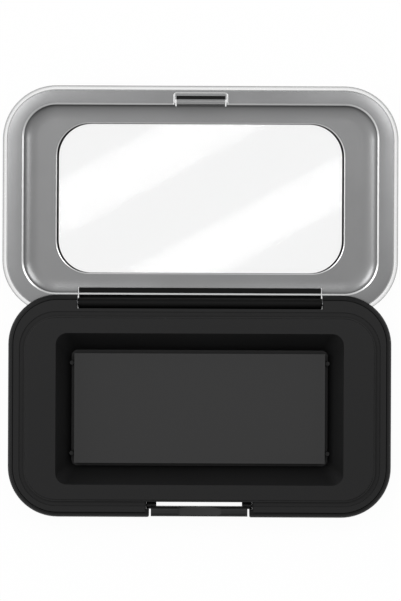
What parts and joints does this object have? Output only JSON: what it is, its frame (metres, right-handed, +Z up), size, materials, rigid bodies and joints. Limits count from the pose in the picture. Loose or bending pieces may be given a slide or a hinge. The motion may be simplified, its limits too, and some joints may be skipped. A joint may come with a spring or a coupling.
{
  "type": "wet palette",
  "caption": "Hinged travel wet palette lying open: black base with a raised deck, foam well, hinge and front latch, and a grey-framed lid with a clear window.",
  "frame": {"origin": "centre of the base's flat underside, on the table", "axes": "+X to the right along the hinge, +Y to the rear, from the latch to the hinge and on to the open lid, +Z up"},
  "size_m": [0.1906, 0.2076, 0.02],
  "materials": {
    "shell_black": "fine moulded texture",
    "deck_black": "satin",
    "seal_rubber": "matt silicone",
    "foam_grey": "open-cell foam",
    "sheet_grey": "smooth membrane",
    "pin_steel": "drawn",
    "spring_steel": "rolled",
    "lever_black": "satin",
    "cover_clear": "clear, polished",
    "frame_silver": "satin silver-grey",
    "hinge_black": "satin"
  },
  "bodies": {
    "base": {"base_shell": "shell_black", "deck_tray": "deck_black", "seal_ring": "seal_rubber", "foam_pad": "foam_grey", "palette_sheet": "sheet_grey", "hinge_pin_left": "pin_steel", "hinge_pin_right": "pin_steel", "latch_pin_left": "pin_steel", "latch_pin_right": "pin_steel", "latch_spring_left": "spring_steel", "latch_spring_right": "spring_steel"},
    "latch": {"latch_lever": "lever_black"},
    "lid": {"lid_cover": "cover_clear", "lid_frame": "frame_silver", "hinge_bar": "hinge_black"}
  },
  "joints": [
    {"name": "lid_hinge", "type": "hinge", "parent": "base", "child": "lid", "pos_m": [0, 0.0494, 0.014], "axis": [1, 0, 0], "range_deg": [0, 180]},
    {"name": "latch_pivot", "type": "hinge", "parent": "base", "child": "latch", "pos_m": [0, -0.0479, 0.012], "axis": [1, 0, 0], "range_deg": [0, 12], "stiffness_Nm_per_rad": 0.05, "springref_deg": -2.86, "deforming": ["latch_spring_left", "latch_spring_right"]}
  ]
}
